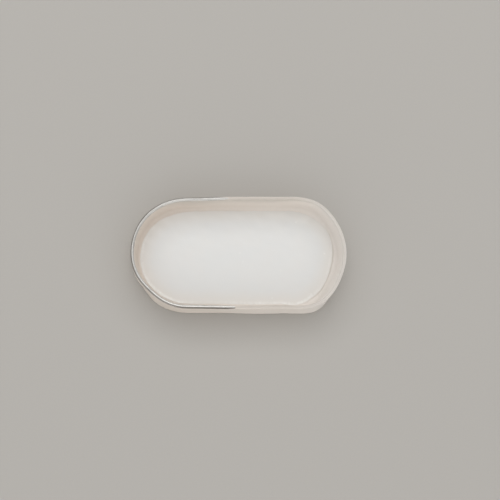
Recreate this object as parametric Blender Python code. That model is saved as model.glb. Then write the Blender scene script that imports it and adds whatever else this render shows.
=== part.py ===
"""A hand-built porcelain accessory tray, in metres, +Z up.

The potter rolls a floor slab, lutes a strip of clay on its edge as the wall, presses a coil of
clay into the corner inside, and after the glaze firing brushes bright metal lustre on half the
lip. The origin is on the underside, in the middle of the racetrack outline; +X runs along it.
"""
import math

import bmesh
import bpy
from mathutils import Vector

# The tray as a whole
LIP_LENGTH = 0.1600
LIP_WIDTH = 0.0838
TRAY_HEIGHT = 0.0250

# The floor slab, which the wall stands on
FLOOR_THICKNESS = 0.0042
UNDER_EDGE_RADIUS = 0.0014

# The wall strip, a wedge that is thinnest at its lip, and how far its foot stands out
LIP_THICKNESS = 0.0026
WALL_FOOT_THICKNESS = 0.0045
FOOT_FLARE = 0.0004

# The coil in the corner between wall and floor: its hollow face and its two thin edges
COIL_RADIUS = 0.0048
COIL_EDGE = 0.0002

# The lustre band over the lip, and how far below the round of the lip it reaches on each side
LUSTRE_THICKNESS = 0.0004
LUSTRE_DROP_OUTSIDE = 0.0009
LUSTRE_DROP_INSIDE = 0.0009

# The slip between luted pieces, and how far a cutter reaches past what it cuts
LUTE_GAP = 0.0003
CUT_OVERRUN = 0.0008

# The most that the potter's hand has pushed each line out, or lowered or thickened the wall
LIP_SWELL = 0.0026
FOOT_SWELL = 0.0036
WALL_SWELL = 0.0033
COIL_SWELL = 0.0012
LIP_DIP = 0.0005

# Places are shares of the way round, from the middle of the right-hand end towards the back.
# Each swell has its place, its size as a share of the largest, and its spread as a share.
LIP_SWELL_SHARES = (
    (0.105, 0.60, 0.035),
    (0.200, 0.10, 0.060),
    (0.350, -0.35, 0.050),
    (0.585, -0.55, 0.035),
    (0.740, 0.20, 0.060),
    (0.900, 1.00, 0.040),
)
FOOT_SWELL_SHARES = (
    (0.105, 0.30, 0.035),
    (0.350, -0.20, 0.050),
    (0.480, -0.10, 0.030),
    (0.565, -0.50, 0.025),
    (0.690, 0.05, 0.035),
    (0.790, 0.25, 0.050),
    (0.890, 1.00, 0.030),
)
WALL_SWELL_SHARES = (
    (0.030, 0.62, 0.065),
    (0.935, 1.00, 0.050),
)
COIL_SWELL_SHARES = (
    (0.500, 1.00, 0.080),
    (0.970, -0.60, 0.080),
)
LIP_DIP_SHARES = (
    (0.020, 0.50, 0.060),
    (0.200, 0.80, 0.050),
    (0.420, 0.40, 0.050),
    (0.590, 1.00, 0.045),
    (0.800, 0.60, 0.060),
)

# Where the lustre starts and ends, how near to an end no ring lies, and the waver of its edges
LUSTRE_START_SHARE = 0.267
LUSTRE_END_SHARE = 0.7455
LUSTRE_END_MARGIN_SHARE = 0.002
BRUSH_WAVER_SHARE = 0.18
BRUSH_WAVES = 9

# How finely the faces follow the shapes
END_STEPS = 30
SIDE_STEPS = 9
LIP_STEPS = 8
COIL_STEPS = 6
EDGE_STEPS = 4
WALL_STEPS = 2

END_RADIUS = LIP_WIDTH / 2
SPINE_HALF = (LIP_LENGTH - LIP_WIDTH) / 2
WAY_ROUND = 4 * SPINE_HALF + 2 * math.pi * END_RADIUS
LIP_RADIUS = LIP_THICKNESS / 2
WALL_BASE = FLOOR_THICKNESS + LUTE_GAP
SHARP_ANGLE = math.radians(40)

# Colour in linear light, roughness and metallic value of each piece
FINISHES = {
    "floor_slab": ((0.74, 0.74, 0.725), 0.16, 0.0),
    "wall_strip": ((0.64, 0.60, 0.56), 0.20, 0.0),
    "corner_coil": ((0.68, 0.65, 0.62), 0.18, 0.0),
    "lustre_band": ((0.60, 0.59, 0.57), 0.14, 1.0),
}


def racetrack_point(share, out, height):
    """The point that lies out from the true racetrack by out, at a share of the way round."""
    quarter = END_RADIUS * math.pi / 2
    side = 2 * SPINE_HALF
    way = (share % 1.0) * WAY_ROUND
    if way < quarter:
        spine_x, angle = SPINE_HALF, way / END_RADIUS
    elif way < quarter + side:
        spine_x, angle = SPINE_HALF - (way - quarter), math.pi / 2
    elif way < 3 * quarter + side:
        spine_x, angle = -SPINE_HALF, (way - side) / END_RADIUS
    elif way < 3 * quarter + 2 * side:
        spine_x, angle = way - 3 * quarter - side - SPINE_HALF, -math.pi / 2
    else:
        spine_x, angle = SPINE_HALF, (way - WAY_ROUND) / END_RADIUS
    reach = END_RADIUS + out
    return Vector((spine_x + reach * math.cos(angle), reach * math.sin(angle), height))


def ring_shares():
    """Shares of the way round where every ring has a corner: closer together on the ends."""
    end = END_RADIUS * math.pi
    side = 2 * SPINE_HALF
    shares = []
    start = -end / 2
    for length, steps in ((end, END_STEPS), (side, SIDE_STEPS)) * 2:
        shares += [(start + length * step / steps) / WAY_ROUND for step in range(steps)]
        start += length
    return sorted(share % 1.0 for share in shares)


def swell(share, swell_shares, largest):
    """The sum of a table's soft bumps at one place on the way round."""
    total = 0.0
    for place, size_share, spread_share in swell_shares:
        apart = abs((share - place + 0.5) % 1.0 - 0.5)
        total += size_share * math.exp(-((apart / spread_share) ** 2))
    return total * largest


def lip_top(share):
    """The height of the lip, which the hand-cut edge leaves a little wavy."""
    return TRAY_HEIGHT - swell(share, LIP_DIP_SHARES, LIP_DIP)


def outer_face(share, height):
    """How far the outer face lies out at a height, on a straight line from foot to lip."""
    foot = FOOT_FLARE + swell(share, FOOT_SWELL_SHARES, FOOT_SWELL)
    lip = swell(share, LIP_SWELL_SHARES, LIP_SWELL)
    return foot + (lip - foot) * height / TRAY_HEIGHT


def inner_face(share, height):
    """How far the wall's inner face lies out at a height, on a straight line too."""
    foot = WALL_FOOT_THICKNESS + swell(share, WALL_SWELL_SHARES, WALL_SWELL)
    thickness = foot + (LIP_THICKNESS - foot) * height / TRAY_HEIGHT
    return outer_face(share, height) - thickness


def lip_centre(share):
    """The centre of the lip's round section, as (out, height)."""
    height = lip_top(share) - LIP_RADIUS
    return outer_face(share, height) - LIP_RADIUS, height


def arc(centre, radius, start, end, steps):
    """Points (out, height) along a circle's arc, both ends included."""
    turns = [start + (end - start) * step / steps for step in range(steps + 1)]
    return [
        (centre[0] + radius * math.cos(turn), centre[1] + radius * math.sin(turn))
        for turn in turns
    ]


def wall_section(share):
    """The wall strip's section: up the outer face, over the round lip, down the inner face."""
    centre = lip_centre(share)
    rises = [WALL_BASE + (centre[1] - WALL_BASE) * step / WALL_STEPS for step in range(WALL_STEPS)]
    outside = [(outer_face(share, height), height) for height in rises]
    inside = [(inner_face(share, height), height) for height in reversed(rises)]
    return outside + arc(centre, LIP_RADIUS, 0.0, math.pi, LIP_STEPS) + inside


def slab_section(share):
    """The slab's rounded under-edge and its side, from below to above."""
    corner = (outer_face(share, UNDER_EDGE_RADIUS) - UNDER_EDGE_RADIUS, UNDER_EDGE_RADIUS)
    side_top = (outer_face(share, FLOOR_THICKNESS), FLOOR_THICKNESS)
    return arc(corner, UNDER_EDGE_RADIUS, -math.pi / 2, 0.0, EDGE_STEPS) + [side_top]


def coil_section(share):
    """The coil's section: the corner, and a hollow arc that all but touches wall and floor."""
    radius = COIL_RADIUS + swell(share, COIL_SWELL_SHARES, COIL_SWELL)
    corner = inner_face(share, WALL_BASE) - LUTE_GAP
    lean = math.atan((inner_face(share, TRAY_HEIGHT) - inner_face(share, 0.0)) / TRAY_HEIGHT)
    centre_out = corner + radius * (math.tan(lean) - 1 / math.cos(lean))
    centre = (centre_out, WALL_BASE + radius)
    edge_turn = math.acos(1 - COIL_EDGE / radius)
    hollow = arc(centre, radius, -lean - edge_turn, edge_turn - math.pi / 2, COIL_STEPS)
    rise = hollow[0][1] - WALL_BASE
    up_the_wall = (corner + rise * math.tan(lean), WALL_BASE + rise)
    toe = (hollow[-1][0], WALL_BASE)
    return [(corner, WALL_BASE), up_the_wall] + hollow + [toe]


def brush_drop(share, drop):
    """How far down the lustre reaches, with the waver of the brush."""
    waver = math.sin(2 * math.pi * BRUSH_WAVES * share)
    return drop * (1 + BRUSH_WAVER_SHARE * waver)


def cap_section(share, inner_radius, outer_radius, more_drop):
    """A cap that fits over the lip: up outside, over the top, down inside, and back under."""
    out, height = lip_centre(share)
    low_outside = height - brush_drop(share, LUSTRE_DROP_OUTSIDE) - more_drop
    low_inside = height - brush_drop(share, LUSTRE_DROP_INSIDE) - more_drop
    over = arc((out, height), outer_radius, 0.0, math.pi, LIP_STEPS)
    back = arc((out, height), inner_radius, math.pi, 0.0, LIP_STEPS)
    inside_foot = [(out - outer_radius, low_inside), (out - inner_radius, low_inside)]
    outside_foot = [(out + inner_radius, low_outside), (out + outer_radius, low_outside)]
    return over + inside_foot + back + outside_foot


def band_section(share):
    """The lustre band's section, whose outside is where the bare lip's would be."""
    return cap_section(share, LIP_RADIUS - LUSTRE_THICKNESS, LIP_RADIUS, 0.0)


def rebate_section(share):
    """The section that the lip loses, so that the band lies in it with a gap."""
    core = LIP_RADIUS - LUSTRE_THICKNESS - LUTE_GAP
    return cap_section(share, core, LIP_RADIUS + CUT_OVERRUN, LUTE_GAP)


def lustre_shares(longer):
    """The shares where the lustre's rings lie, with both ends moved out by a length."""
    start, end, margin = LUSTRE_START_SHARE, LUSTRE_END_SHARE, LUSTRE_END_MARGIN_SHARE
    between = [share for share in ring_shares() if start + margin < share < end - margin]
    return [start - longer / WAY_ROUND] + between + [end + longer / WAY_ROUND]


def closed_loop(bm, points):
    """A ring of vertices joined by edges, as a list of its edges."""
    verts = [bm.verts.new(point) for point in points]
    return [bm.edges.new(pair) for pair in zip(verts, verts[1:] + verts[:1])]


def loft(name, loops, closed):
    """A solid through rings of points: closed on itself, or with its two ends filled."""
    bm = bmesh.new()
    rings = [closed_loop(bm, loop) for loop in loops]
    followers = rings[1:] + rings[:1] if closed else rings[1:]
    for ring, follower in zip(rings, followers):
        bmesh.ops.bridge_loops(bm, edges=ring + follower)
    if not closed:
        bmesh.ops.contextual_create(bm, geom=rings[0])
        bmesh.ops.contextual_create(bm, geom=rings[-1])
    bmesh.ops.recalc_face_normals(bm, faces=bm.faces)
    mesh = bpy.data.meshes.new(name)
    bm.to_mesh(mesh)
    bm.free()
    mesh.shade_smooth()
    mesh.set_sharp_from_angle(angle=SHARP_ANGLE)
    piece = bpy.data.objects.new(name, mesh)
    bpy.context.scene.collection.objects.link(piece)
    return piece


def all_round(section):
    """Rings for a loft that runs all the way round: one ring for each corner of the section."""
    shares = ring_shares()
    sections = [section(share) for share in shares]
    return [
        [racetrack_point(share, *point) for share, point in zip(shares, corner_points)]
        for corner_points in zip(*sections)
    ]


def along(section, shares):
    """Rings for a loft that runs part of the way: one ring for each share."""
    return [[racetrack_point(share, *point) for point in section(share)] for share in shares]


def paint(piece):
    """Gives a piece its own plain material."""
    colour, roughness, metallic = FINISHES[piece.name]
    material = bpy.data.materials.new(piece.name)
    material.use_nodes = True
    shader = material.node_tree.nodes["Principled BSDF"]
    shader.inputs["Base Color"].default_value = (*colour, 1.0)
    shader.inputs["Roughness"].default_value = roughness
    shader.inputs["Metallic"].default_value = metallic
    piece.data.materials.append(material)


def cut(piece, cutter):
    """Cuts one piece by a cutter, which isn't part of the tray."""
    cutter.hide_render = True
    cutter.display_type = "WIRE"
    rebate = piece.modifiers.new("rebate", "BOOLEAN")
    rebate.operation = "DIFFERENCE"
    rebate.solver = "EXACT"
    rebate.object = cutter


def build_tray():
    """Makes the four pieces of the tray."""
    slab = loft("floor_slab", all_round(slab_section), closed=False)
    wall = loft("wall_strip", all_round(wall_section), closed=True)
    coil = loft("corner_coil", all_round(coil_section), closed=True)
    band = loft("lustre_band", along(band_section, lustre_shares(0.0)), closed=False)
    rebate = along(rebate_section, lustre_shares(LUTE_GAP))
    cut(wall, loft("rebate_cutter", rebate, closed=False))
    for piece in (slab, wall, coil, band):
        paint(piece)


for old in list(bpy.data.objects):
    bpy.data.objects.remove(old, do_unlink=True)
build_tray()
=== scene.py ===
# %% [markdown]
# A hand-built porcelain tray
#
# The real tray is rolled, cut and joined by hand: a floor slab, a strip of clay bent round as the
# wall, a coil pressed into the inside corner, and a line of bright metal lustre brushed over half
# of the lip. The solids in the frame hold its sizes. This lesson gives each of them a fine glazed
# surface, because the real one shows a single skin of glaze with no joint in sight.

import math

import bmesh
import bpy
import numpy as np
from mathutils import Matrix, Vector


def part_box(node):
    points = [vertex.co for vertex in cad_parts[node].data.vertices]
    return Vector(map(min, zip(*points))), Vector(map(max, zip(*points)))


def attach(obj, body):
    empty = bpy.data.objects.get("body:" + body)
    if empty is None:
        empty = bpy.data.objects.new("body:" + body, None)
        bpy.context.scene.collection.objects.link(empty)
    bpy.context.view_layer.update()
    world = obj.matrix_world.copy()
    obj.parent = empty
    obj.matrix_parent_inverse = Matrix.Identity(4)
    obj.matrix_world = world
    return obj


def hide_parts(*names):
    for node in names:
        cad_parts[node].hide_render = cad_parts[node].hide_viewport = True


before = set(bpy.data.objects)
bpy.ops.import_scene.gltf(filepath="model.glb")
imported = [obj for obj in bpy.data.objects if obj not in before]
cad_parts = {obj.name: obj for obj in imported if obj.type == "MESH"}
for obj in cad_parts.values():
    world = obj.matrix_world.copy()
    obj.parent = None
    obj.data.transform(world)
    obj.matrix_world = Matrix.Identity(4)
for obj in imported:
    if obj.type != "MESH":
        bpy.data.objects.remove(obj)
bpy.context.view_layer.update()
MILLIMETRE = 0.001


def in_mm(metres, digits=2):
    """Metres divided by a millimetre and rounded, for the lines that the cells print."""
    return (np.asarray(metres) / MILLIMETRE).round(digits)


# %% [markdown]
# The camera
#
# We look at the tray from almost straight above, a little from the front and the left, from far
# away with a narrow lens. A camera that starts out looking straight down is rolled a little about
# Z, tilted about X and turned a little about Y. Then it is moved back along its own line of sight
# and slightly to the side. We could have used a track constraint, but two tilts and a roll are
# easier to read and to change.

# %% Place the camera
IMAGE_SIDE_PX = 500
FOCAL_PX = 1203
SENSOR_WIDTH_MM = 36
CAMERA_DISTANCE = 0.900
TILT_FROM_FRONT = 0.1785
TILT_FROM_LEFT = 0.0419
ROLL = 0.0052
AIM_RIGHT = 0.00878
AIM_UP = 0.00371
AIM_HEIGHT = 0.012

camera_data = bpy.data.cameras.new("camera")
camera_data.sensor_width = SENSOR_WIDTH_MM
camera_data.lens = FOCAL_PX / IMAGE_SIDE_PX * SENSOR_WIDTH_MM
camera = bpy.data.objects.new("camera", camera_data)
bpy.context.scene.collection.objects.link(camera)
turn = (
    Matrix.Rotation(-TILT_FROM_LEFT, 4, "Y")
    @ Matrix.Rotation(TILT_FROM_FRONT, 4, "X")
    @ Matrix.Rotation(-ROLL, 4, "Z")
)
back_off = turn @ Vector((AIM_RIGHT, AIM_UP, CAMERA_DISTANCE))
camera.matrix_world = Matrix.Translation(back_off + Vector((0, 0, AIM_HEIGHT))) @ turn
bpy.context.scene.camera = camera
print("camera at, mm:", in_mm(camera.matrix_world.translation, digits=0))

# %% [markdown]
# The sizes that everything follows
#
# The floor's height comes from the frame's own slab. The other lengths are the potter's choices:
# how long, wide and high the tray is at its lip, how thick the lip is left, how far the wall widens
# towards its foot. We could type them again in each piece, but kept in one place each needs only
# one change.

# %% Sizes
FLOOR_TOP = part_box("floor_slab")[1][2]
TRAY_HEIGHT = 0.0250
LIP_LENGTH = 0.1600
LIP_WIDTH = 0.0838
LIP_THICKNESS = 0.0026
WALL_FOOT_THICKNESS = 0.0045
FOOT_FLARE = 0.0004
GLAZE_INSET = 0.00010

END_RADIUS = LIP_WIDTH / 2
SPINE_HALF = (LIP_LENGTH - LIP_WIDTH) / 2
WAY_ROUND = 4 * SPINE_HALF + 2 * math.pi * END_RADIUS
LIP_RADIUS = LIP_THICKNESS / 2
QUARTER_ROUND = LIP_RADIUS * math.pi / 2
print("way round the lip, mm:", in_mm(WAY_ROUND, digits=1))

# %% [markdown]
# A racetrack that was drawn by hand
#
# In plan the tray is two half circles joined by straight sides, but a hand pushed each line in
# and out a little. A place on the way round is a share from 0 to 1, starting at the middle of the
# right-hand end and turning towards the back. A swell is a soft bump at one share. Adding a few
# bumps to a true shape keeps it easy to change, where a list of traced points would not.

# %% Swells, each with its place, its size as a share of the largest, and its spread
LIP_SWELL = 0.0026
LIP_SWELL_SHARES = (
    (0.105, 0.60, 0.035),
    (0.200, 0.10, 0.060),
    (0.350, -0.35, 0.050),
    (0.585, -0.55, 0.035),
    (0.740, 0.20, 0.060),
    (0.900, 1.00, 0.040),
)
FOOT_SWELL = 0.0036
FOOT_SWELL_SHARES = (
    (0.105, 0.30, 0.035),
    (0.350, -0.20, 0.050),
    (0.480, -0.10, 0.030),
    (0.565, -0.50, 0.025),
    (0.690, 0.05, 0.035),
    (0.790, 0.25, 0.050),
    (0.890, 1.00, 0.030),
)
WALL_SWELL = 0.0033
WALL_SWELL_SHARES = ((0.030, 0.62, 0.065), (0.935, 1.00, 0.050))
LIP_DIP = 0.0005
LIP_DIP_SHARES = (
    (0.020, 0.50, 0.060),
    (0.200, 0.80, 0.050),
    (0.420, 0.40, 0.050),
    (0.590, 1.00, 0.045),
    (0.800, 0.60, 0.060),
)


def swell(share, swell_shares, largest):
    """Adds one bell curve for each row: largest x size x e to the minus (distance / spread)^2."""
    total = np.zeros_like(share)
    for place, size_share, spread_share in swell_shares:
        apart = np.abs((share - place + 0.5) % 1.0 - 0.5)
        total += size_share * np.exp(-((apart / spread_share) ** 2))
    return total * largest


TRIAL_PLACES = 8
trial = np.linspace(0, 1, TRIAL_PLACES, endpoint=False)
print("lip swells, mm:", in_mm(swell(trial, LIP_SWELL_SHARES, LIP_SWELL)))


# %% [markdown]
# Every point of the tray is placed by the next function: a share of the way round, how far out
# from the lip's true line, and how high. We could work in X and Y, but in those three numbers a
# wall or a floor is just a short list of (out, height) at each share.

# %% The racetrack itself
def racetrack(share, out, height):
    """Points of a racetrack: a point of the spine plus (end radius + out) along the outward way.

    The outward way turns with the share on the two ends and stands still on the two sides.
    """
    quarter = END_RADIUS * math.pi / 2
    side = 2 * SPINE_HALF
    way = (share % 1.0) * WAY_ROUND
    stretch = [
        way < quarter,
        way < quarter + side,
        way < 3 * quarter + side,
        way < 3 * quarter + 2 * side,
    ]
    back_x = SPINE_HALF + quarter - way
    front_x = way - 3 * quarter - side - SPINE_HALF
    spine_x = np.select(stretch, [SPINE_HALF, back_x, -SPINE_HALF, front_x], SPINE_HALF)
    right_turn = way / END_RADIUS
    left_turn = (way - side) / END_RADIUS
    angle = np.select(
        stretch,
        [right_turn, math.pi / 2, left_turn, -math.pi / 2],
        (way - WAY_ROUND) / END_RADIUS,
    )
    reach = END_RADIUS + out
    x = spine_x + reach * np.cos(angle)
    y = reach * np.sin(angle)
    return np.stack(np.broadcast_arrays(x, y, height), axis=-1)


trial_lip = racetrack(trial, 0.0, TRAY_HEIGHT)
print("true lip reaches, mm:", in_mm(trial_lip.max(axis=0)))


# %% [markdown]
# The wall's section
#
# The wall is a wedge: thin at its round lip and thicker at its foot. A wedge with straight sides
# would leave a crease where it meets the round of the lip, so its thickness grows with a power a
# little over 1. The outer face and the lip are drawn a tenth of a millimetre inside the true size,
# which leaves room for the lustre and the finger marks to stand proud.

# %% Outer face, lip and inner face
WALL_WEDGE_POWER = 1.25


def outer_face(share, height):
    """How far the outer face lies out: a straight line from the foot's swell to the lip's."""
    foot = FOOT_FLARE + swell(share, FOOT_SWELL_SHARES, FOOT_SWELL)
    lip = swell(share, LIP_SWELL_SHARES, LIP_SWELL)
    return foot + (lip - foot) * height / TRAY_HEIGHT - GLAZE_INSET


def lip_centre(share):
    """The centre of the lip's round section: (out, height), a lip radius in from the top."""
    top = TRAY_HEIGHT - swell(share, LIP_DIP_SHARES, LIP_DIP) - GLAZE_INSET
    height = top - LIP_RADIUS
    return outer_face(share, height) - LIP_RADIUS, height


def inner_face(share, height):
    """How far the inner face lies out: the outer face less the wall's thickness.

    The thickness is the lip's, plus what the foot has more times (depth / whole depth)^power.
    """
    foot = WALL_FOOT_THICKNESS + swell(share, WALL_SWELL_SHARES, WALL_SWELL)
    _, high = lip_centre(share)
    depth_share = np.clip((high - height) / high, 0.0, 1.0)
    thickness = LIP_THICKNESS + (foot - LIP_THICKNESS) * depth_share**WALL_WEDGE_POWER
    return outer_face(share, height) - thickness


HALF_HEIGHT = TRAY_HEIGHT / 2
print("wall at half height, mm thick:",
      in_mm(outer_face(trial, HALF_HEIGHT) - inner_face(trial, HALF_HEIGHT)))

# %% [markdown]
# One curve for the whole inside
#
# The skin that we see inside runs down the wall, round the smeared coil and over the floor. We
# write it as one function of a single number, so that the pieces can be cut from it anywhere and
# still meet exactly. A thumb leaves a hollow that is tight at the floor and slow at the wall: a
# quadratic curve with a short leg on the floor and a long leg on the wall has just that shape.
# Where the thumb stopped, the floor has an edge of its own, with a faint ridge of pushed clay and a
# groove beside it. They show as a thin light line next to a thin dark one, which the glaze's colour
# strengthens with a painted highlight and painted shade.

# %% Where the floor's edge lies, and how sharp its ridge and groove are
WALL_LEG = 0.0058
FLOOR_EDGE = 0.0070
FLOOR_EDGE_SWELL = 0.0025
FLOOR_EDGE_SWELL_SHARES = (
    (0.060, -0.15, 0.020),
    (0.250, 0.10, 0.050),
    (0.370, 0.60, 0.045),
    (0.550, -0.20, 0.030),
    (0.660, -0.15, 0.050),
    (0.780, -0.40, 0.050),
    (0.860, -0.70, 0.030),
    (0.975, 1.05, 0.050),
)
EDGE_WAVER = 0.00022
EDGE_WAVES = ((17, 0.3), (29, 1.1), (47, 2.6), (83, 4.0))
RIDGE_RISE = 0.00018
RIDGE_SHARES = (
    (0.200, 0.15, 0.100),
    (0.480, 0.40, 0.040),
    (0.600, 0.90, 0.060),
    (0.850, 1.00, 0.050),
    (0.980, 0.60, 0.050),
)
RIDGE_WAVES = ((11, 2.2), (23, 0.9), (41, 5.1), (67, 3.3), (113, 0.2), (149, 4.4))
RIDGE_PLACE, RIDGE_SPREAD = 0.0001, 0.0005
GROOVE_DEPTH = 0.00015
GROOVE_SHARES = (
    (0.000, 1.00, 0.060),
    (0.300, 0.30, 0.100),
    (0.640, 1.00, 0.080),
    (0.800, 0.40, 0.050),
    (0.920, 0.90, 0.050),
)
# The last number is how wide the painted shade in the groove spreads.
GROOVE_PLACE, GROOVE_SPREAD, GROOVE_SHADE_SPREAD = 0.0012, 0.0006, 0.0011


def round_waves(share, table):
    """The mean of one sine per row, each with its own whole number of waves round the tray."""
    return np.mean([np.sin(2 * math.pi * count * share + start) for count, start in table], axis=0)


def bell(value, middle, spread):
    """e to the minus (distance from the middle / spread)^2."""
    return np.exp(-(((value - middle) / spread) ** 2))


print("ridge, as a share of the highest:", swell(trial, RIDGE_SHARES, 1.0).round(2))


# %% [markdown]
# Now the curve itself. It needs the place where the hollow starts on the wall, the corner that
# pulls the curve towards itself, and the floor's edge. We could join three arcs, but a quadratic
# curve meets the wall and the floor smoothly without any sums about tangents.

# %% The inside, from the lip to the middle of the floor
def inside(share, along):
    """The inside as one curve (out, height, way up from the floor's edge).

    along is 0 at the lip, 1 where the hollow starts, 2 at the floor's edge, 3 at the spine. Down
    the wall the height falls evenly. The hollow is (1-u)^2 top + 2u(1-u) corner + u^2 edge. A bell
    curve across the floor's edge raises the ridge, and another in the hollow sinks the groove.
    """
    _, high = lip_centre(share)
    hollow_top = FLOOR_TOP + WALL_LEG
    top_out = inner_face(share, hollow_top)
    slope = (inner_face(share, hollow_top + MILLIMETRE) - top_out) / MILLIMETRE
    corner_out = top_out - slope * WALL_LEG
    edge_out = -FLOOR_EDGE - swell(share, FLOOR_EDGE_SWELL_SHARES, FLOOR_EDGE_SWELL)
    edge_out = edge_out - EDGE_WAVER * round_waves(share, EDGE_WAVES)

    down = np.clip(along, 0, 1)
    wall_height = high + (hollow_top - high) * down
    bend = np.clip(along - 1, 0, 1)
    hollow_out = (1 - bend)**2 * top_out + 2 * bend * (1 - bend) * corner_out + bend**2 * edge_out
    hollow_height = FLOOR_TOP + (1 - bend)**2 * WALL_LEG
    inward = np.clip(along - 2, 0, 1)
    floor_out = edge_out + (-END_RADIUS - edge_out) * inward

    where = [along <= 1, along <= 2]
    out = np.select(where, [inner_face(share, wall_height), hollow_out], floor_out)
    height = np.select(where, [wall_height, hollow_height], FLOOR_TOP)
    legs = corner_out - edge_out + WALL_LEG
    way_up = np.select(
        where, [legs + wall_height - hollow_top, legs * (1 - bend)], floor_out - edge_out
    )
    ridge = swell(share, RIDGE_SHARES, RIDGE_RISE) * (1 + round_waves(share, RIDGE_WAVES))
    ridge = ridge * bell(way_up, RIDGE_PLACE, RIDGE_SPREAD)
    groove = swell(share, GROOVE_SHARES, GROOVE_DEPTH) * bell(way_up, GROOVE_PLACE, GROOVE_SPREAD)
    return out, height + ridge - groove, way_up


trial_edge = inside(trial, np.full_like(trial, 2.0))[0]
print("floor's edge lies in from the true racetrack by, mm:", in_mm(-trial_edge))

# %% [markdown]
# Clay keeps the mark of the hand
#
# Nothing on a hand-built tray is quite flat or straight. Long slow waves bend the whole tray, and
# short ones are the finger marks, which are deepest inside. A bump in the material could stand in
# for them, but only moved points show in the outline. Both kinds of wave depend on a point's place
# alone, so two pieces that meet in a point are pushed alike and the skin stays closed. The push
# fades out at the underside, which is flat to stand on.

# %% The hand's unevenness
HAND_PUSH = 0.00005
HAND_WAVES = ((61, 97, 40, 0.3), (143, 38, 90, 1.9), (29, 171, 70, 4.1), (211, 120, 30, 2.6))
FINGER_PUSH = 0.00009
FINGER_WAVES = (
    (410, 150, 260, 0.7),
    (-230, 470, 310, 2.2),
    (620, -340, 190, 5.0),
    (180, 690, -240, 3.7),
    (-540, -410, 420, 1.1),
)
AXIS_PHASE = 2.1
FLAT_FOOT = 0.003


def waves(points, table):
    """For X, Y and Z, the mean of one sine per row: sine of (row times place, plus a phase)."""
    rows = np.array(table)
    angle = points @ rows[:, :3].T + rows[:, 3]
    return np.stack([np.sin(angle + AXIS_PHASE * axis).mean(-1) for axis in range(3)], axis=-1)


def uneven(points, finger_share):
    """Points plus long waves, and finger waves times their share, faded in above the foot."""
    fade = np.clip(points[..., 2:] / FLAT_FOOT, 0, 1) ** 2
    push = HAND_PUSH * waves(points, HAND_WAVES)
    push = push + FINGER_PUSH * finger_share[..., None] * waves(points, FINGER_WAVES)
    return points + fade * push


trial_push = uneven(trial_lip, np.ones_like(trial)) - trial_lip
print("the hand moves the lip by up to, mm:", in_mm(np.abs(trial_push).max(), digits=3))


# %% [markdown]
# From a grid of points to a mesh
#
# Every surface of the tray is a grid: one way runs round the tray, the other along a section. We
# could spin or extrude a profile, but this section changes on its way round. numpy works out all
# the points at once, and the faces follow from the grid's own numbering. Numbers that a material
# will need are kept at every point as well, as mesh attributes.

# %% Grid to mesh
def grid_mesh(name, points, closed_round=True, closed_section=True, attributes=None):
    """Makes a mesh of a grid (round x section): each face joins four neighbours."""
    around, along = points.shape[:2]
    index = np.arange(around * along).reshape(around, along)
    if closed_round:
        index = np.vstack([index, index[:1]])
    if closed_section:
        index = np.hstack([index, index[:, :1]])
    quads = np.stack([index[:-1, :-1], index[1:, :-1], index[1:, 1:], index[:-1, 1:]], axis=-1)
    mesh = bpy.data.meshes.new(name)
    mesh.from_pydata(points.reshape(-1, 3), [], quads.reshape(-1, 4).tolist())
    for key, values in (attributes or {}).items():
        layer = mesh.attributes.new(key, "FLOAT", "POINT")
        spread = np.broadcast_to(values, (around, along)).astype(np.float32)
        layer.data.foreach_set("value", spread.ravel())
    piece = bpy.data.objects.new(name, mesh)
    bpy.context.scene.collection.objects.link(piece)
    print(name, "is a grid of", around, "stations by", along, "rows")
    return piece


# %% [markdown]
# Where rows meet in a point or on a line, the grid has doubled points. They are merged before the
# faces are turned outwards, because doubled points cut the surface apart. On the slab's spine the
# points come from both sides, so it gets a wider reach. An edge where the surface turns sharply is
# marked sharp, so that the shading of the visible skin isn't bent by the hidden faces behind it. A
# modifier could smooth by angle too, but marks in the mesh are simpler.

# %% Close a mesh and turn it out
SHARP_TURN = math.radians(50)
MERGE = 0.0000001
MERGE_ON_SPINE = 0.000002


def close_and_turn_out(piece, merge=MERGE):
    """Merges points closer than merge, turns every face outwards and prints what came of it."""
    work = bmesh.new()
    work.from_mesh(piece.data)
    bmesh.ops.remove_doubles(work, verts=work.verts, dist=merge)
    bmesh.ops.dissolve_degenerate(work, edges=work.edges, dist=merge)
    bmesh.ops.recalc_face_normals(work, faces=work.faces)
    if work.calc_volume(signed=True) < 0:
        bmesh.ops.reverse_faces(work, faces=work.faces)
    open_edges = sum(len(edge.link_faces) != 2 for edge in work.edges)
    volume = work.calc_volume(signed=True) / MILLIMETRE**3
    work.to_mesh(piece.data)
    work.free()
    piece.data.shade_smooth()
    piece.data.set_sharp_from_angle(angle=SHARP_TURN)
    print(piece.name, len(piece.data.polygons), "faces,", open_edges, "open edges,",
          round(volume), "cubic mm")


# %% [markdown]
# The wall
#
# The wall's section goes up the outer face, over the round lip and down the inside to its joint
# with the coil, then back down behind the skin. The joint lies where the skin is straight, so
# the light shows no line there. A profile swept along a curve would be quicker to make, but it
# would be the same all the way round. Here every station has the same rows, and each row has its
# own place at each station.

# %% The wall's rows
STATIONS = 960
share = (np.arange(STATIONS) / STATIONS)[:, None]
ones = np.ones((STATIONS, 1))
WALL_LIFT = 0.00015
WALL_BASE = FLOOR_TOP + WALL_LIFT
BEHIND = 0.00025
JOINT_ABOVE = 0.93
OUTER_ROWS, LIP_ROWS, INNER_ROWS, HIDDEN_ROWS = 26, 28, 24, 4


def between(start, end, count, ends=True):
    """Rows in equal steps from start to end, each given as one value for every station."""
    return start + (end - start) * np.linspace(0, 1, count, endpoint=ends)[None, :]


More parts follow.
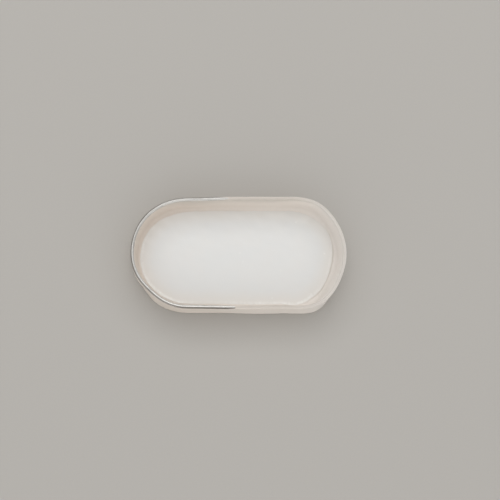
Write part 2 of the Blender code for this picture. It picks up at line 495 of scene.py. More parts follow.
centre_out, centre_height = lip_centre(share)
outer_height = between(WALL_BASE * ones, centre_height, OUTER_ROWS, ends=False)
lip_turn = np.linspace(0, math.pi, LIP_ROWS)[None, :]
down_inside = np.linspace(0, JOINT_ABOVE, INNER_ROWS + 1)[None, 1:] * ones
skin_out, skin_height, skin_way = inside(share, down_inside)
hidden_height = between(skin_height[:, -1:], WALL_BASE * ones, HIDDEN_ROWS)
wall_out = np.hstack([
    outer_face(share, outer_height),
    centre_out + LIP_RADIUS * np.cos(lip_turn),
    skin_out,
    inner_face(share, hidden_height) + BEHIND,
])
wall_height = np.hstack([
    outer_height,
    centre_height + LIP_RADIUS * np.sin(lip_turn),
    skin_height,
    hidden_height,
])
print("wall stands from, mm:", in_mm(wall_height.min()), "to", in_mm(wall_height.max()))

# %% [markdown]
# Three numbers go with each point of the wall: how deep the finger marks are, how far up from the
# floor's edge it lies, and how much painted shade it gets. The painted shade darkens the lip's
# upward round and some way down inside: furthest on the far side at the left, least at the right
# end. We could paint that by hand, but a formula follows the lip by itself.

# %% Wall strip
FINGERS_OUTSIDE = 0.25
FAR_FROM_FLOOR = 0.05
# Painted shade over the lip and some way down the inside of the wall.
LIP_SHADE_OUTSIDE, LIP_SHADE_INSIDE, LIP_SHADE_SWELL = 0.0012, 0.0030, 0.0085
LIP_SHADE_SWELL_SHARES = ((0.220, 0.60, 0.070), (0.335, 1.00, 0.050), (0.970, -0.10, 0.090))

fingers = np.hstack([
    FINGERS_OUTSIDE * np.ones((1, OUTER_ROWS + LIP_ROWS)),
    FINGERS_OUTSIDE + (1 - FINGERS_OUTSIDE) * down_inside[:1] / JOINT_ABOVE,
    np.ones((1, HIDDEN_ROWS)),
])
hidden_way = FAR_FROM_FLOOR * np.ones((STATIONS, HIDDEN_ROWS))
way_up = np.hstack([
    FAR_FROM_FLOOR * np.ones((STATIONS, OUTER_ROWS + LIP_ROWS)),
    skin_way,
    hidden_way,
])
over_lip = np.hstack([
    QUARTER_ROUND + centre_height - outer_height,
    QUARTER_ROUND - LIP_RADIUS * lip_turn * ones,
    skin_height - centre_height - QUARTER_ROUND,
    hidden_way,
])
# Painted shade: strongest on the lip's crest, where it faces up.
lip_shade_inside = LIP_SHADE_INSIDE + swell(share, LIP_SHADE_SWELL_SHARES, LIP_SHADE_SWELL)
lip_shade = bell(over_lip, 0.0, np.where(over_lip > 0, LIP_SHADE_OUTSIDE, lip_shade_inside))
wall_points = uneven(racetrack(share, wall_out, wall_height), fingers)
wall = grid_mesh(
    "glazed_wall", wall_points, attributes={"way_up": way_up, "lip_shade": lip_shade}
)
close_and_turn_out(wall)

# %% [markdown]
# Flecks in the glaze
#
# A few specks lift the glaze by a tenth of a millimetre at most, on the floor and on its ridge. A
# bump in the material could fake them, but raised in the mesh itself they are part of its shape. A
# number kept at each point tells the material where they are, and there it whitens them as painted
# glints. Their places follow the real tray.

# %% Flecks, each with how far right and how far back it lies, and its size as a share
FLECK_RISE = 0.00010
FLECK_RADIUS = 0.00070
FLECKS = (
    (0.0655, 0.0026, 1.0),
    (0.0549, -0.0287, 1.0),
    (0.0510, -0.0327, 1.0),
    (0.0469, -0.0349, 0.6),
    (0.0255, -0.0314, 0.7),
    (0.0441, 0.0264, 0.8),
    (0.0015, 0.0028, 0.4),
    (0.0038, -0.0040, 0.4),
    (0.0321, -0.0103, 0.3),
    (-0.0236, 0.0130, 0.3),
    (-0.0577, -0.0288, 0.7),
    (-0.0633, -0.0235, 0.8),
    (-0.0671, -0.0175, 0.6),
)


def flecks_at(points):
    """How much of a fleck lies at each point: one bell curve of the distance in plan per fleck."""
    total = np.zeros(points.shape[:2])
    for fleck_x, fleck_y, fleck_share in FLECKS:
        away = np.hypot(points[..., 0] - fleck_x, points[..., 1] - fleck_y)
        total += fleck_share * bell(away, 0, FLECK_RADIUS)
    return total


print(len(FLECKS), "flecks, each raised at most, mm:", in_mm(FLECK_RISE))

# %% [markdown]
# The coil in the corner
#
# A plain tube laid in the corner would show a line on each side, and the real coil is smeared into
# both its neighbours. So it takes the next stretch of the same curve, from its joint with the wall
# to a little way out over the floor, past its ridge, and closes on itself behind the skin. Beside
# the ridge the glaze's colour gets a whiter line, a painted highlight, and in the groove a darker
# one, painted shade. Where they lie is kept at each point too, as two numbers.

# %% Smoothed coil
BACK_ROWS = 2
JOINT_BEYOND = 2.11
# Painted highlight: where a whiter line lies beside the floor's ridge.
HIGHLIGHT_PLACE, HIGHLIGHT_SPREAD = -0.0008, 0.0010
HIGHLIGHT_SHARES = (
    (0.480, 0.60, 0.050),
    (0.600, 1.00, 0.060),
    (0.780, 0.60, 0.060),
    (0.870, 0.90, 0.040),
    (0.980, 0.30, 0.040),
)
HOLLOW_ROWS, JOINT_ROWS, RIDGE_ROWS = 40, 4, 18
round_the_corner = np.concatenate([
    np.linspace(JOINT_ABOVE, 1, JOINT_ROWS, endpoint=False),
    np.linspace(1, 2, HOLLOW_ROWS, endpoint=False),
    np.linspace(2, JOINT_BEYOND, RIDGE_ROWS),
])[None, :] * ones
skin_out, skin_height, skin_way = inside(share, round_the_corner)
corner_out = inner_face(share, FLOOR_TOP)
coil_out = np.hstack([skin_out, skin_out[:, -1:], corner_out - BEHIND])
coil_height = np.hstack([skin_height, (FLOOR_TOP - BEHIND) * np.ones((STATIONS, BACK_ROWS))])
way_up = np.hstack([skin_way, np.zeros((STATIONS, BACK_ROWS))])
# Painted highlight beside the ridge, and below it painted shade in the groove.
edge_highlight = swell(share, HIGHLIGHT_SHARES, 1.0) * (1 + round_waves(share, RIDGE_WAVES))
edge_highlight = np.clip(edge_highlight * bell(way_up, HIGHLIGHT_PLACE, HIGHLIGHT_SPREAD), 0, 1)
groove_shade = np.clip(swell(share, GROOVE_SHARES, 1.0), 0, 1) * bell(way_up, GROOVE_PLACE, GROOVE_SHADE_SPREAD)
coil_points = racetrack(share, coil_out, coil_height)
coil_fleck_glint = flecks_at(coil_points)
coil_fleck_glint[:, -BACK_ROWS:] = 0
coil_points = uneven(coil_points, np.ones((1, 1)))
coil_points[..., 2] += FLECK_RISE * coil_fleck_glint
coil = grid_mesh(
    "smoothed_coil", coil_points,
    attributes={"way_up": way_up, "edge_highlight": edge_highlight, "groove_shade": groove_shade, "fleck_glint": coil_fleck_glint},
)
close_and_turn_out(coil)

# %% [markdown]
# The floor slab
#
# The slab is a racetrack filled in to its spine. One big face would close its outline too, but rows
# that run in to the spine let the floor carry its finger marks and flecks. The underside is bare
# clay, wiped clean so that it doesn't stick to the kiln shelf. The glaze stops in a small bead a
# little way up the side, and the line of that bead is never quite level. The slab's top dips under
# the coil and the wall.

# %% The slab's rows
UNDER_EDGE_RADIUS = 0.0009
BARE_INSET = 0.00010
GLAZE_LINE = 0.0013
GLAZE_LINE_WAVER = 0.0002
GLAZE_LINE_WAVES = ((23, 0.4), (41, 1.7), (67, 3.1))
BEAD_HEIGHT = 0.0004
SLAB_DIP = 2 * BEHIND
UNDER_ROWS, EDGE_ROWS, BEAD_ROWS, SIDE_ROWS, DIPPED_ROWS, FLOOR_ROWS = 14, 9, 8, 5, 2, 52

glaze_line = GLAZE_LINE + GLAZE_LINE_WAVER * round_waves(share, GLAZE_LINE_WAVES)
spine_out = -END_RADIUS * ones
edge_turn = np.linspace(-math.pi / 2, 0, EDGE_ROWS)[None, :]
edge_out = outer_face(share, UNDER_EDGE_RADIUS) - BARE_INSET - UNDER_EDGE_RADIUS
under_out = between(spine_out, edge_out, UNDER_ROWS, ends=False)
bead_turn = np.linspace(-math.pi / 2, math.pi / 2, BEAD_ROWS)[None, :]
bead_height = glaze_line + BEAD_HEIGHT * (1 + np.sin(bead_turn)) / 2
bead_out = outer_face(share, bead_height) - BARE_INSET * np.where(
    bead_turn < 0, 1 - np.cos(bead_turn), 0
)
side_height = between(bead_height[:, -1:], WALL_BASE * ones, SIDE_ROWS + 1)[:, 1:]
over_floor = np.linspace(JOINT_BEYOND, 3, FLOOR_ROWS)[None, :] * ones
floor_out, floor_height, floor_way = inside(share, over_floor)
dipped_out = np.hstack([outer_face(share, WALL_BASE * ones) - BEHIND, floor_out[:, :1] + BEHIND])
slab_out = np.hstack([
    under_out,
    edge_out + UNDER_EDGE_RADIUS * np.cos(edge_turn),
    bead_out,
    outer_face(share, side_height),
    dipped_out,
    floor_out,
])
slab_height = np.hstack([
    np.zeros_like(under_out),
    UNDER_EDGE_RADIUS * (1 + np.sin(edge_turn)) * ones,
    bead_height,
    side_height,
    (FLOOR_TOP - SLAB_DIP) * np.ones_like(dipped_out),
    floor_height,
])
print("glaze stops above the foot at, mm:", in_mm(glaze_line.min()), "to", in_mm(glaze_line.max()))

# %% [markdown]
# The slab gets its numbers, its finger marks and its flecks. It is bare up to and with the bead's
# first row. The finger marks are as deep as the wall's where the slab meets the wall, as deep as the
# coil's where it meets the coil, and fainter in the middle of the floor, which was rolled. One
# depth all over would be simpler, but it would leave a step at a joint.

# %% Floor slab
ROWS_BEFORE_FLOOR = UNDER_ROWS + EDGE_ROWS + BEAD_ROWS + SIDE_ROWS + DIPPED_ROWS
BARE_ROWS = UNDER_ROWS + EDGE_ROWS + 1
FINGERS_ON_FLOOR, FINGERS_FADE = 0.6, 0.010

bare = np.zeros((1, ROWS_BEFORE_FLOOR + FLOOR_ROWS))
bare[:, :BARE_ROWS] = 1
way_up = np.hstack([FAR_FROM_FLOOR * np.ones((STATIONS, ROWS_BEFORE_FLOOR)), floor_way])
slab_points = racetrack(share, slab_out, slab_height)
fleck_glint = flecks_at(slab_points)
fleck_glint[:, :-FLOOR_ROWS] = 0
fingers = np.full_like(fleck_glint, FINGERS_OUTSIDE)
fingers[:, -FLOOR_ROWS:] = np.clip(
    1 + (floor_way - floor_way[:, :1]) / FINGERS_FADE, FINGERS_ON_FLOOR, 1
)
slab_points = uneven(slab_points, fingers)
slab_points[..., 2] += FLECK_RISE * fleck_glint
floor = grid_mesh(
    "glazed_floor", slab_points, closed_section=False,
    attributes={"way_up": way_up, "bare": bare, "fleck_glint": fleck_glint},
)
close_and_turn_out(floor, merge=MERGE_ON_SPINE)

# %% [markdown]
# The brushed line of lustre
#
# Lustre is a metal film painted over the fired glaze and fired again. It follows the round of
# the lip, thins to nothing at both edges, and the brush wavers. We could colour the glaze's own
# material there, but the metal is a piece of its own in the frame. So the film is a thin skin whose
# edges dip under the glaze: where it dips sets the edge that the eye sees. Its way across the
# lip is measured from the crest, outwards as a positive length.

# %% Where the brush went
LUSTRE_START_SHARE = 0.2665
LUSTRE_END_SHARE = 0.7455
FILM_STATIONS, FILM_ROWS = 720, 44
FILM_OUTSIDE = 0.00195
FILM_INSIDE = 0.00240
BRUSH_WAVER_OUTSIDE = 0.08
BRUSH_WAVER_INSIDE = 0.22
BRUSH_WAVES = ((0.21, 1.0), (0.47, 2.0), (0.93, 3.0), (1.71, 4.0))
OUTSIDE_PHASE, INSIDE_PHASE = 1.0, 2.3
START_TAPER, END_TAPER, TAPER_POWER = 0.013, 0.009, 0.6
OUTSIDE_AT_END_SHARE = 0.35

film_share = np.linspace(LUSTRE_START_SHARE, LUSTRE_END_SHARE, FILM_STATIONS)[:, None]
film_way = film_share * WAY_ROUND


def waver(way, phase):
    """A brush's waver: the mean of one sine per row, each with its own rate per millimetre."""
    return np.mean(
        [np.sin(rate * way / MILLIMETRE + start * phase) for rate, start in BRUSH_WAVES], axis=0
    )


from_start = (film_share - LUSTRE_START_SHARE) * WAY_ROUND
to_end = (LUSTRE_END_SHARE - film_share) * WAY_ROUND
start_taper = np.clip(from_start / START_TAPER, 0, 1) ** TAPER_POWER
end_taper = np.clip(to_end / END_TAPER, 0, 1) ** TAPER_POWER
outside_edge = FILM_OUTSIDE * (1 + BRUSH_WAVER_OUTSIDE * waver(film_way, OUTSIDE_PHASE))
outside_edge *= start_taper * (OUTSIDE_AT_END_SHARE + (1 - OUTSIDE_AT_END_SHARE) * end_taper)
inside_edge = FILM_INSIDE * (1 + BRUSH_WAVER_INSIDE * waver(film_way, INSIDE_PHASE))
inside_edge *= start_taper * end_taper
print("film reaches inside by, mm:", in_mm(inside_edge.min()), "to", in_mm(inside_edge.max()))

# %% [markdown]
# The film's own grid runs from its inner edge over the crest to its outer edge, and back again a
# little way inside the clay, so that it is a closed solid. The first and the last ring each shrink
# into a point. A Solidify modifier could close a single skin too, but here the back stays at one
# depth in the clay while the front rises and dips.

# %% Lay the film over the lip
FILM_RISE = 0.00003
FILM_DIP = 0.00003
FILM_DEPTH = 0.00018
FILM_EDGE_POWER = 8
END_FADE = 0.0015


def over_the_lip(share_here, across, rise):
    """Points a rise above the lip: the way across goes round the lip first, then down a face."""
    out, high = lip_centre(share_here)
    turned = np.clip(across / LIP_RADIUS, -math.pi / 2, math.pi / 2)
    further = np.maximum(np.abs(across) - QUARTER_ROUND, 0)
    low = high - further
    outer, inner = outer_face(share_here, low) + rise, inner_face(share_here, low) - rise
    out_at = np.where(
        further > 0, np.where(across > 0, outer, inner),
        out + (LIP_RADIUS + rise) * np.sin(turned),
    )
    height_at = np.where(further > 0, low, high + (LIP_RADIUS + rise) * np.cos(turned))
    return uneven(racetrack(share_here, out_at, height_at), np.full((1, 1), FINGERS_OUTSIDE))


row_share = np.linspace(0, 1, FILM_ROWS)[None, :]
across = -inside_edge + (inside_edge + outside_edge) * row_share
hump = 1 - np.abs(2 * row_share - 1) ** FILM_EDGE_POWER
end_fade = np.clip(np.minimum(from_start, to_end) / END_FADE, 0, 1)
film_rise = (FILM_RISE + FILM_DIP) * hump * end_fade - FILM_DIP
skin = over_the_lip(film_share, across, film_rise)
underlay = over_the_lip(film_share, across[:, ::-1], -FILM_DEPTH * np.ones_like(film_rise))
film_points = np.concatenate([skin, underlay], axis=1)
first = np.broadcast_to(film_points[:1].mean(axis=1, keepdims=True), film_points[:1].shape)
last = np.broadcast_to(film_points[-1:].mean(axis=1, keepdims=True), film_points[-1:].shape)
film_points = np.concatenate([first, film_points, last])


def per_point(values):
    """Film values repeated for the underlay and for the two end points."""
    both = np.hstack([values, values[:, ::-1]])
    return np.vstack([both[:1], both, both[-1:]])


lustre = grid_mesh(
    "lustre_line", film_points, closed_round=False,
    attributes={
        "across": per_point(across / QUARTER_ROUND),
        "along": per_point(film_way * np.ones_like(across)),
    },
)
close_and_turn_out(lustre)

# %% [markdown]
# Small helpers for node materials
#
# A procedural material is a handful of node kinds used again and again. We could write out every
# node and link, but a short function for each kind lets the materials below read like recipes.
# The first three start a material and fetch what it is made from: the numbers that a mesh keeps at
# its points, and noise.

# %% A material, an attribute and noise
def new_material(name):
    """A material with a Principled shader: (material, node tree, shader)."""
    material = bpy.data.materials.new(name)
    material.use_nodes = True
    tree = material.node_tree
    return material, tree, tree.nodes["Principled BSDF"]


def attribute(tree, name):
    """The value that a mesh keeps at each point under a name."""
    node = tree.nodes.new("ShaderNodeAttribute")
    node.attribute_name = name
    return node.outputs["Fac"]


def noise(tree, scale, detail=2.0, place=None):
    """A noise texture, on Object coordinates unless a place is given."""
    node = tree.nodes.new("ShaderNodeTexNoise")
    node.inputs["Scale"].default_value = scale
    node.inputs["Detail"].default_value = detail
    if place is None:
        place = tree.nodes.new("ShaderNodeTexCoord").outputs["Object"]
    tree.links.new(place, node.inputs["Vector"])
    return node.outputs["Fac"]


print("helpers that start a material:", new_material.__name__, attribute.__name__, noise.__name__)


# %% [markdown]
# The other four work on values that are already there: arithmetic, a smooth step, a mixed colour
# and a bump. The Mix node has a set of sockets for each kind of value, and several of them share a
# name, so we pick the colour ones by their place in its list.

# %% Arithmetic, ranges, mixed colours and bumps
MIX_FACTOR, MIX_FIRST, MIX_SECOND, MIX_RESULT = 0, 6, 7, 2


def maths(tree, kind, first, second=None):
    """One step of arithmetic: each of the two values is a number or another node's value."""
    node = tree.nodes.new("ShaderNodeMath")
    node.operation = kind
    for socket, value in zip(node.inputs, (first, second)):
        if isinstance(value, (int, float)):
            socket.default_value = value
        elif value is not None:
            tree.links.new(value, socket)
    return node.outputs[0]


def ranged(tree, value, low, high, to_low=0.0, to_high=1.0):
    """Maps a value from one range to another along a smooth step."""
    node = tree.nodes.new("ShaderNodeMapRange")
    node.interpolation_type = "SMOOTHSTEP"
    limits = {"From Min": low, "From Max": high, "To Min": to_low, "To Max": to_high}
    for key, number in limits.items():
        node.inputs[key].default_value = number
    tree.links.new(value, node.inputs["Value"])
    return node.outputs["Result"]


def mixed(tree, factor, first, second):
    """Mixes two colours, each a tuple or another node's colour."""
    node = tree.nodes.new("ShaderNodeMix")
    node.data_type = "RGBA"
    tree.links.new(factor, node.inputs[MIX_FACTOR])
    for socket, colour in ((node.inputs[MIX_FIRST], first), (node.inputs[MIX_SECOND], second)):
        if isinstance(colour, tuple):
            socket.default_value = (*colour, 1)
        else:
            tree.links.new(colour, socket)
    return node.outputs[MIX_RESULT]


def bumped(tree, heights):
    """One bump on top of another: each is (height, distance in metres)."""
    normal = None
    for height, distance in heights:
        node = tree.nodes.new("ShaderNodeBump")
        node.inputs["Distance"].default_value = distance
        tree.links.new(height, node.inputs["Height"])
        if normal:
            tree.links.new(normal, node.inputs["Normal"])
        normal = node.outputs["Normal"]
    return normal


print("helpers that work on values:", maths.__name__, ranged.__name__, mixed.__name__, bumped.__name__)


# %% [markdown]
# Porcelain glaze
#
# Glaze is a thin coat of glass over white clay, white on the floor. A whiter line beside the floor's
# ridge is a painted highlight. The floor darkens a little near its edge with painted shade, and the
# warm ivory of the upright wall is painted warm bounce light, paler at the right end and darker and
# warmer towards the left as painted light and shade. The lip and the groove are darker with painted
# shade. Under the foot the clay is bare. Three materials could do this, but they would meet in hard
# lines, so one serves all three clay pieces and turns softly from colour to colour.

# %% Glaze colours, and where one turns into the next
FLOOR_WHITE = (0.755, 0.755, 0.742)
# Painted shade: the floor is a little darker and warmer near its edge, where the walls shade it.
FLOOR_EDGE_SHADE = (0.770, 0.748, 0.712)
# Painted highlight: the whiter line beside the floor's ridge.
HIGHLIGHT_WHITE = (0.860, 0.850, 0.820)
# Painted light: the wall's warm ivory stands for warm bounce light, painted paler at the right end and
# darker and warmer at the left.
WALL_RIGHT_LIGHT = (0.800, 0.752, 0.702)
WALL_BOUNCE_IVORY = (0.803, 0.738, 0.672)
WALL_LEFT_SHADE = (0.725, 0.643, 0.567)
RIGHT_LIGHT_FROM, RIGHT_LIGHT_TO = 0.035, 0.070
LEFT_SHADE_FROM, LEFT_SHADE_TO = 0.030, -0.060
EDGE_SHADE_FROM = -0.012
IVORY_FROM, IVORY_TO = 0.0001, 0.0014
# Painted shade over the lip, a little less at the right end.
LIP_SHADED = (0.550, 0.500, 0.445)
LIP_SHADED_RIGHT = (0.610, 0.570, 0.525)
# Painted shade in the groove.
GROOVE_SHADE = (0.610, 0.560, 0.510)
# Painted glint: each fleck is whitened as a small highlight.
GLINT_WHITE = (0.84, 0.83, 0.80)
BARE_CLAY = (0.62, 0.57, 0.50)
BARE_CLAY_DARK = (0.52, 0.46, 0.39)
print("glaze turns from white to ivory above the floor's edge by, mm:", in_mm(IVORY_TO))

# %% [markdown]
# The material reads the way up from the floor's edge, the painted highlight beside the ridge, the
# painted shade in the groove and over the lip, the flecks, which it whitens as painted glints, and
# where the clay is bare. These are numbers kept at each point, so the colour turns exactly where the
# shape does, and noise mottles it a little. A texture painted by hand could say as much, but it would
# have to be painted again after every change of shape.

# %% Glaze colour
CLOUD_SCALE, CLOUD_DETAIL = 70, 3
MOTTLE_FROM, MOTTLE_TO, MOTTLE_SHARE = 0.35, 0.75, 0.10
CLAY_GRAIN_SCALE, CLAY_GRAIN_DETAIL = 500, 4

glaze, tree, shader = new_material("porcelain_glaze")
way = attribute(tree, "way_up")
cloud = noise(tree, CLOUD_SCALE, CLOUD_DETAIL)
# Painted shade: the floor darkens a little towards its edge.
edge_shade = ranged(tree, way, EDGE_SHADE_FROM, 0.0)
shaded_floor = mixed(tree, edge_shade, FLOOR_WHITE, FLOOR_EDGE_SHADE)
# Painted highlight beside the floor's ridge.
highlighted_floor = mixed(tree, attribute(tree, "edge_highlight"), shaded_floor, HIGHLIGHT_WHITE)
ivory = ranged(tree, way, IVORY_FROM, IVORY_TO)
place = tree.nodes.new("ShaderNodeSeparateXYZ")
tree.links.new(tree.nodes.new("ShaderNodeTexCoord").outputs["Object"], place.inputs[0])
# Painted light and shade across the wall: paler at the right end, darker and warmer at the left.
left_shade = ranged(tree, place.outputs["X"], LEFT_SHADE_FROM, LEFT_SHADE_TO)
right_light = ranged(tree, place.outputs["X"], RIGHT_LIGHT_FROM, RIGHT_LIGHT_TO)
wall_colour = mixed(tree, right_light, mixed(tree, left_shade, WALL_BOUNCE_IVORY, WALL_LEFT_SHADE), WALL_RIGHT_LIGHT)
# Painted shade over the lip.
shaded_lip = mixed(tree, right_light, LIP_SHADED, LIP_SHADED_RIGHT)
upright_colour = mixed(tree, attribute(tree, "lip_shade"), wall_colour, shaded_lip)
# Painted shade in the groove.
upright_colour = mixed(tree, attribute(tree, "groove_shade"), upright_colour, GROOVE_SHADE)
clay_colour = mixed(tree, ivory, highlighted_floor, upright_colour)
mottle = ranged(tree, cloud, MOTTLE_FROM, MOTTLE_TO, 0.0, MOTTLE_SHARE)
mottled = mixed(tree, mottle, clay_colour, WALL_BOUNCE_IVORY)
# Painted glints on the flecks.
glinted = mixed(tree, attribute(tree, "fleck_glint"), mottled, GLINT_WHITE)
clay_grain = noise(tree, CLAY_GRAIN_SCALE, CLAY_GRAIN_DETAIL)
bare_colour = mixed(tree, clay_grain, BARE_CLAY, BARE_CLAY_DARK)
bare_share = attribute(tree, "bare")
tree.links.new(mixed(tree, bare_share, glinted, bare_colour), shader.inputs["Base Color"])
print("glaze colour has", len(tree.nodes), "nodes")

# %% [markdown]
# Now its shine. The glaze is glossy where it pooled and duller where it stands upright, and its
# surface has the soft dimples that are called orange peel. The bare clay is matt and gritty. We
# could model dimples and grit, but so fine a relief only has to catch the light, and a bump does
# that without any faces.

# %% Glaze gloss and bump
GLOSS_FROM, GLOSS_TO, SMOOTHEST, LEAST_SMOOTH = 0.3, 0.7, 0.10, 0.18
UPRIGHT_DULLER = 0.20
BARE_ROUGHNESS = 0.85
PEEL_SCALE, PEEL_DETAIL, PEEL_DEPTH = 260, 2, 0.00004
GRIT_SCALE, GRIT_DETAIL, GRIT_DEPTH = 2600, 2, 0.00010
GLAZE_IOR = 1.5

gloss = ranged(tree, cloud, GLOSS_FROM, GLOSS_TO, SMOOTHEST, LEAST_SMOOTH)
gloss = maths(tree, "ADD", gloss, maths(tree, "MULTIPLY", ivory, UPRIGHT_DULLER))
rough = tree.nodes.new("ShaderNodeMix")
tree.links.new(bare_share, rough.inputs["Factor"])
tree.links.new(gloss, rough.inputs["A"])
rough.inputs["B"].default_value = BARE_ROUGHNESS
tree.links.new(rough.outputs["Result"], shader.inputs["Roughness"])
orange_peel = noise(tree, PEEL_SCALE, PEEL_DETAIL)
grit = noise(tree, GRIT_SCALE, GRIT_DETAIL)
bare_grit = maths(tree, "MULTIPLY", grit, bare_share)
relief = bumped(tree, [(orange_peel, PEEL_DEPTH), (bare_grit, GRIT_DEPTH)])
tree.links.new(relief, shader.inputs["Normal"])
shader.inputs["IOR"].default_value = GLAZE_IOR
for piece in (floor, wall, coil):
    piece.data.materials.append(glaze)
print("glaze has", len(tree.nodes), "nodes")

# %% [markdown]
# Metal lustre
#
# The metal is bright along the crest and the inner side, and along the outer side it turns to a
# dark line, a painted dark reflection. That line is faint where the brush started and grows darker
# on the way round. Streaks follow the brush. Noise on plain Object coordinates would run straight
# through the tray, so the material reads the way across and along the line, which the film keeps
# at each point.

# %% Lustre's metal, streaks and dark line
LUSTRE_BRIGHT = (0.620, 0.608, 0.580)
LUSTRE_GREY = (0.430, 0.415, 0.390)
# Painted reflection: the dark line along the outer side.
LUSTRE_DARK_REFLECTION = (0.160, 0.142, 0.124)
DARK_FROM, DARK_TO = -0.10, 0.45
FAINT_UNTIL, FULL_FROM, FAINT_SHARE = 0.145, 0.205, 0.60
STREAKS_ALONG, STREAKS_ACROSS = 180, 9
STREAK_SCALE, STREAK_DETAIL, STREAK_FROM, STREAK_TO = 1.0, 3, 0.45, 0.75
PATCH_SCALE, PATCH_DETAIL, PATCH_FROM, PATCH_TO, PATCH_SHARE = 0.35, 2, 0.50, 0.75, 0.6

silver, tree, shader = new_material("brushed_lustre")
across_here = attribute(tree, "across")
brush_place = tree.nodes.new("ShaderNodeCombineXYZ")
for source, repeats, socket in (("along", STREAKS_ALONG, 0), ("across", STREAKS_ACROSS, 1)):
    scaled = maths(tree, "MULTIPLY", attribute(tree, source), repeats)
    tree.links.new(scaled, brush_place.inputs[socket])
streaks = noise(tree, STREAK_SCALE, STREAK_DETAIL, brush_place.outputs[0])
patches = noise(tree, PATCH_SCALE, PATCH_DETAIL, brush_place.outputs[0])
streaked = ranged(tree, streaks, STREAK_FROM, STREAK_TO)
bright = mixed(tree, streaked, LUSTRE_BRIGHT, LUSTRE_GREY)
patched = ranged(tree, patches, PATCH_FROM, PATCH_TO, 0.0, PATCH_SHARE)
bright = mixed(tree, patched, bright, LUSTRE_GREY)
along_here = attribute(tree, "along")
strength = ranged(tree, along_here, FAINT_UNTIL, FULL_FROM, FAINT_SHARE, 1.0)
# Painted dark reflection along the outer side, faint where the brush started.
dark_reflection = maths(tree, "MULTIPLY", ranged(tree, across_here, DARK_FROM, DARK_TO), strength)
with_dark_reflection = mixed(tree, dark_reflection, bright, LUSTRE_DARK_REFLECTION)
print("dark line is faint until, mm along:", in_mm(FAINT_UNTIL), "and full from", in_mm(FULL_FROM))

# %% [markdown]
# At the left end a painted grey reflection and, outside it, a second painted dark reflection lie
# outside the first dark line. A second film could lie there, but two films so close would fight for
# the same place. So the material lays them over the first colours, in one stretch of the line alone.

# %% Lustre material
# Painted reflections at the left end: a grey line, and a dark line outside it.
LEFT_END_GREY_REFLECTION = (0.580, 0.560, 0.530)
LEFT_END_FROM, LEFT_END_TO, LEFT_END_FADE = 0.180, 0.260, 0.015
OUTER_DARK_ALONG_FROM = 0.215
GREY_REFLECTION_FROM, GREY_REFLECTION_TO = 0.38, 0.58
OUTER_DARK_FROM, OUTER_DARK_TO = 0.80, 0.92
SHINE_FROM, SHINE_TO, SHINIEST, LEAST_SHINY = 0.3, 0.7, 0.24, 0.40
STREAK_DEPTH = 0.00002


def in_the_left_end_reflections(start, across_from, across_to):
    """1 from a start along the line to the end of the left end's stretch, outside a way across; else
    0.
    """
    begun = ranged(tree, along_here, start, start + LEFT_END_FADE)
    ended = ranged(tree, along_here, LEFT_END_TO, LEFT_END_TO + LEFT_END_FADE)
    outside = ranged(tree, across_here, across_from, across_to)
    return maths(tree, "MULTIPLY", outside, maths(tree, "SUBTRACT", begun, ended))


# A painted grey reflection, and outside it a painted dark one.
second = in_the_left_end_reflections(LEFT_END_FROM, GREY_REFLECTION_FROM, GREY_REFLECTION_TO)
last = in_the_left_end_reflections(OUTER_DARK_ALONG_FROM, OUTER_DARK_FROM, OUTER_DARK_TO)
lustre_with_reflections = mixed(tree, last, mixed(tree, second, with_dark_reflection, LEFT_END_GREY_REFLECTION), LUSTRE_DARK_REFLECTION)
tree.links.new(lustre_with_reflections, shader.inputs["Base Color"])
roughness = ranged(tree, streaks, SHINE_FROM, SHINE_TO, SHINIEST, LEAST_SHINY)
tree.links.new(roughness, shader.inputs["Roughness"])
tree.links.new(bumped(tree, [(streaks, STREAK_DEPTH)]), shader.inputs["Normal"])
shader.inputs["Metallic"].default_value = 1.0
lustre.data.materials.append(silver)
print("lustre has", len(tree.nodes), "nodes")

# %% [markdown]
# What each piece stands for
#
# Each fine surface takes the place of the plain solid that it dresses, and rides on the tray's
# only body. The solids could stay and just get a better material, but the narrow gaps between them
# would show as lines.

# %% Replace the plain solids
for piece, node, slot in (
    (floor, "floor_slab", "glazed_porcelain"),
    (wall, "wall_strip", "glazed_porcelain"),
    (coil, "corner_coil", "glazed_porcelain"),
    (lustre, "lustre_band", "metal_lustre"),
):
    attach(piece, "root")
    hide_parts(node)
    print(piece.name, "stands for", node)

# %% [markdown]
# A plain floor to stand on
#
# White porcelain needs a floor a little darker than itself, or its edge gets lost. A sheet of
# warm paper does that and keeps the tray's soft shadow. A curved backdrop would hide the horizon,
# but from above a wide flat sheet does as well.

# %% Studio floor
STAGE_HALF = 4.0
STAGE_COLOUR = (0.470, 0.450, 0.420)
SHADE_SHARE = 0.94
FIBRE_SCALE, FIBRE_DETAIL = 900, 3
PAPER_ROUGHNESS = 0.85
stage_points = np.array([[-1, -1, 0], [1, -1, 0], [1, 1, 0], [-1, 1, 0]]) * STAGE_HALF
stage_mesh = bpy.data.meshes.new("studio_floor")
stage_mesh.from_pydata(stage_points.tolist(), [], [(0, 1, 2, 3)])
studio_floor = bpy.data.objects.new("studio_floor", stage_mesh)
bpy.context.scene.collection.objects.link(studio_floor)
paper, tree, shader = new_material("warm_paper")
fibres = noise(tree, FIBRE_SCALE, FIBRE_DETAIL)
paper_shade = tuple(SHADE_SHARE * part for part in STAGE_COLOUR)
tree.links.new(mixed(tree, fibres, STAGE_COLOUR, paper_shade), shader.inputs["Base Color"])
shader.inputs["Roughness"].default_value = PAPER_ROUGHNESS
stage_mesh.materials.append(paper)
print("studio floor is", 2 * STAGE_HALF, "m wide")

# %% [markdown]
# One lamp for the shadow
#
# A square lamp high up behind the tray draws the soft shadow in front of it. It is large and far
# away: a small lamp would draw a hard edge, which porcelain on a shelf seldom has.

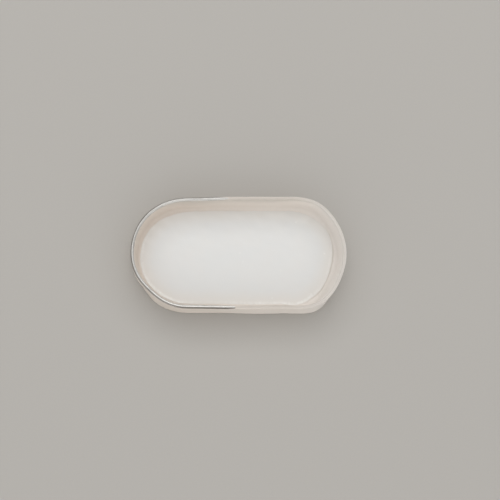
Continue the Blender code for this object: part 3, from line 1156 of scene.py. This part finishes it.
# %% Lamp
LAMP_DISTANCE = 1.7
LAMP_SIZE = 1.2
LAMP_WATTS = 5.4
LAMP_HEIGHT_ANGLE = math.radians(58)
LAMP_TURN = math.radians(95)

toward_lamp = Vector((
    math.cos(LAMP_HEIGHT_ANGLE) * math.cos(LAMP_TURN),
    math.cos(LAMP_HEIGHT_ANGLE) * math.sin(LAMP_TURN),
    math.sin(LAMP_HEIGHT_ANGLE),
))
lamp_data = bpy.data.lights.new("shadow_lamp", "AREA")
lamp_data.shape = "SQUARE"
lamp_data.size = LAMP_SIZE
lamp_data.energy = LAMP_WATTS
lamp = bpy.data.objects.new("shadow_lamp", lamp_data)
lamp.location = toward_lamp * LAMP_DISTANCE
lamp.rotation_euler = (-toward_lamp).to_track_quat("-Z", "Y").to_euler()
bpy.context.scene.collection.objects.link(lamp)
print("lamp at, mm:", in_mm(lamp.location, digits=0))

# %% [markdown]
# A pale room all round
#
# Most of the light comes from the room, painted onto the world as a formula of the direction
# (x, y, z) that a ray flies in. An even grey is brightened low down, so that upright walls don't go
# dark, in two soft bands all round, by a pale ceiling, and by a narrow window band behind, whose
# reflection draws the line along the floor's near edge. Many lamps could do the same, but each
# would show as a square in the glaze. In the values below each height is a direction's z, and each
# from and to is its y, which is positive behind the tray.

# %% How bright each part of the room is
ROOM = 0.12
LOW_LIGHT, LOW_LIGHT_IN_FRONT, LOW_LIGHT_POWER = 0.90, 1.00, 2
CEILING, CEILING_POWER = 0.75, 14
MIDDLE_HEIGHT, MIDDLE_SPREAD = 0.64, 0.20
MIDDLE_BAND, MIDDLE_BAND_IN_FRONT = 0.27, 0.55
HIGH_HEIGHT, HIGH_SPREAD, HIGH_BAND = 0.87, 0.10, 0.38
WINDOW_HEIGHT, WINDOW_SPREAD, WINDOW = 0.66, 0.08, 1.50
IN_FRONT_FROM, IN_FRONT_TO = 0.0, -0.7
BEHIND_FROM, BEHIND_TO = -0.05, 0.35
print("light straight overhead, but for the bands:", ROOM + CEILING)

# %% [markdown]
# The world's nodes follow the same recipe as the materials: split the direction into its parts,
# shape each part of the room, and add them up, each times its strength.

# %% World
world = bpy.data.worlds.new("room")
bpy.context.scene.world = world
world.use_nodes = True
tree = world.node_tree
split = tree.nodes.new("ShaderNodeSeparateXYZ")
tree.links.new(tree.nodes.new("ShaderNodeTexCoord").outputs["Generated"], split.inputs[0])
_, back, up = split.outputs


def band(middle, spread):
    """A band of the room: e to the minus (height's distance from the middle / spread)^2."""
    apart = maths(tree, "DIVIDE", maths(tree, "SUBTRACT", up, middle), spread)
    squared = maths(tree, "MULTIPLY", apart, apart)
    return maths(tree, "EXPONENT", maths(tree, "MULTIPLY", squared, -1.0))


above = maths(tree, "MAXIMUM", up, 0.0)
low_down = maths(tree, "POWER", maths(tree, "SUBTRACT", 1.0, above), LOW_LIGHT_POWER)
in_front = ranged(tree, back, IN_FRONT_FROM, IN_FRONT_TO)
behind = ranged(tree, back, BEHIND_FROM, BEHIND_TO)
middle = band(MIDDLE_HEIGHT, MIDDLE_SPREAD)
light = ROOM
for strength, pattern in (
    (LOW_LIGHT, low_down),
    (LOW_LIGHT_IN_FRONT, maths(tree, "MULTIPLY", low_down, in_front)),
    (MIDDLE_BAND, middle),
    (MIDDLE_BAND_IN_FRONT, maths(tree, "MULTIPLY", middle, in_front)),
    (HIGH_BAND, band(HIGH_HEIGHT, HIGH_SPREAD)),
    (WINDOW, maths(tree, "MULTIPLY", band(WINDOW_HEIGHT, WINDOW_SPREAD), behind)),
    (CEILING, maths(tree, "POWER", above, CEILING_POWER)),
):
    light = maths(tree, "ADD", light, maths(tree, "MULTIPLY", pattern, strength))
background = tree.nodes["Background"]
background.inputs["Color"].default_value = (1, 1, 1, 1)
tree.links.new(light, background.inputs["Strength"])
bpy.context.scene.view_settings.view_transform = "Standard"
print("world has", len(tree.nodes), "nodes")
